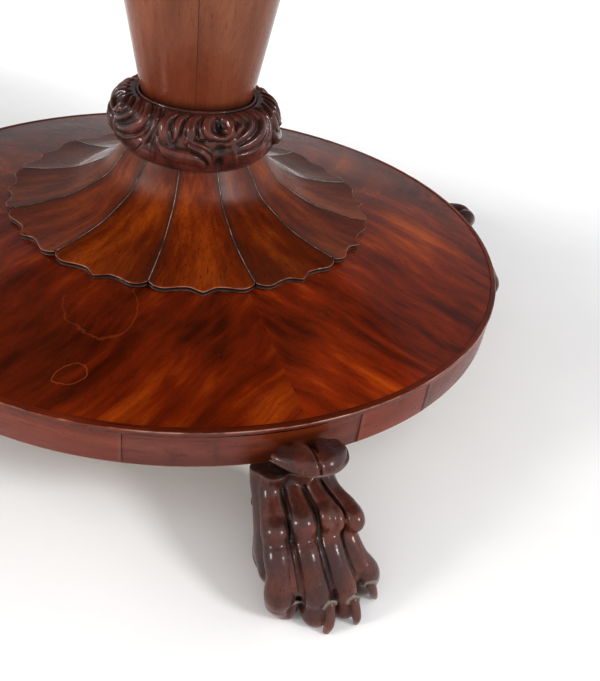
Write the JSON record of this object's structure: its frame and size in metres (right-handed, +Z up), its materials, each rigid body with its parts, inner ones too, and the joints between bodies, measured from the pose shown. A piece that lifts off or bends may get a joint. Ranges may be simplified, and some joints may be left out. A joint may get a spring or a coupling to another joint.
{
  "type": "round pedestal table",
  "caption": "Round tilt-top pedestal table: paw feet, conical platform, lobed dome, carved collar and a column that widens upwards.",
  "frame": {"origin": "floor point under the column's axis", "axes": "+Z up along the column; a foot stands on each of -Y, +X, +Y and -X; -Y is the front, with the locking bolt, and the pivot pins lie along X behind the column"},
  "size_m": [1.18, 1.18, 0.7265],
  "materials": {
    "flame_veneer": "flame mahogany veneer, French polished, glossy",
    "rim_veneer": "mahogany veneer in short lengths, polished, worn",
    "petal_mahogany": "mahogany, warm orange brown, French polished",
    "column_mahogany": "mahogany veneer, polished",
    "carved_mahogany": "carved mahogany, dark in the hollows, waxed",
    "moulded_mahogany": "solid mahogany mouldings, polished",
    "pale_arris": "worn pale edge where two petals meet",
    "carcase_pine": "unfinished softwood, aged",
    "bearer_wood": "stained hardwood, matt",
    "brass": "old brass, satin",
    "iron": "dark iron, dull"
  },
  "bodies": {
    "pedestal": {"platform_veneer_1": "flame_veneer", "platform_veneer_2": "flame_veneer", "platform_veneer_3": "flame_veneer", "platform_veneer_4": "flame_veneer", "platform_rim_veneer": "rim_veneer", "dome_petal_01": "petal_mahogany", "dome_petal_02": "petal_mahogany", "dome_petal_03": "petal_mahogany", "dome_petal_04": "petal_mahogany", "dome_petal_05": "petal_mahogany", "dome_petal_06": "petal_mahogany", "dome_petal_07": "petal_mahogany", "dome_petal_08": "petal_mahogany", "dome_petal_09": "petal_mahogany", "dome_petal_10": "petal_mahogany", "dome_petal_11": "petal_mahogany", "dome_petal_12": "petal_mahogany", "column_veneer_1": "column_mahogany", "column_veneer_2": "column_mahogany", "paw_foot_1": "carved_mahogany", "paw_foot_2": "carved_mahogany", "paw_foot_3": "carved_mahogany", "paw_foot_4": "carved_mahogany", "foot_leaf_1": "carved_mahogany", "foot_leaf_2": "carved_mahogany", "foot_leaf_3": "carved_mahogany", "foot_leaf_4": "carved_mahogany", "acanthus_collar": "carved_mahogany", "collar_bead": "carved_mahogany", "platform_lip": "moulded_mahogany", "column_neck": "moulded_mahogany", "dome_stringing": "pale_arris", "platform_core": "carcase_pine", "dome_core": "carcase_pine", "column_core": "carcase_pine", "foot_block_1": "carcase_pine", "foot_block_2": "carcase_pine", "foot_block_3": "carcase_pine", "foot_block_4": "carcase_pine", "foot_dowels": "carcase_pine", "tenon_wedges": "carcase_pine", "tilt_block": "bearer_wood", "bolt_strike": "brass", "pivot_pins": "iron", "strike_screws": "iron"},
    "top": {"top_core": "carcase_pine", "top_veneer_1": "flame_veneer", "top_veneer_2": "flame_veneer", "top_veneer_3": "flame_veneer", "top_veneer_4": "flame_veneer", "top_edge_moulding": "moulded_mahogany", "top_frieze": "moulded_mahogany", "frieze_bead": "moulded_mahogany", "bearer_left": "bearer_wood", "bearer_right": "bearer_wood", "bearer_screws": "iron", "bolt_case": "brass", "bolt_screws": "iron"},
    "bolt": {"slide_bolt": "brass", "bolt_knob": "brass"}
  },
  "joints": [
    {"name": "top_tilt", "type": "hinge", "parent": "pedestal", "child": "top", "pos_m": [0, 0.152, 0.672], "axis": [-1, 0, 0], "range_deg": [0, 90]},
    {"name": "bolt_slide", "type": "slide", "parent": "top", "child": "bolt", "axis": [0, 1, 0], "range_m": [0, 0.018]}
  ]
}
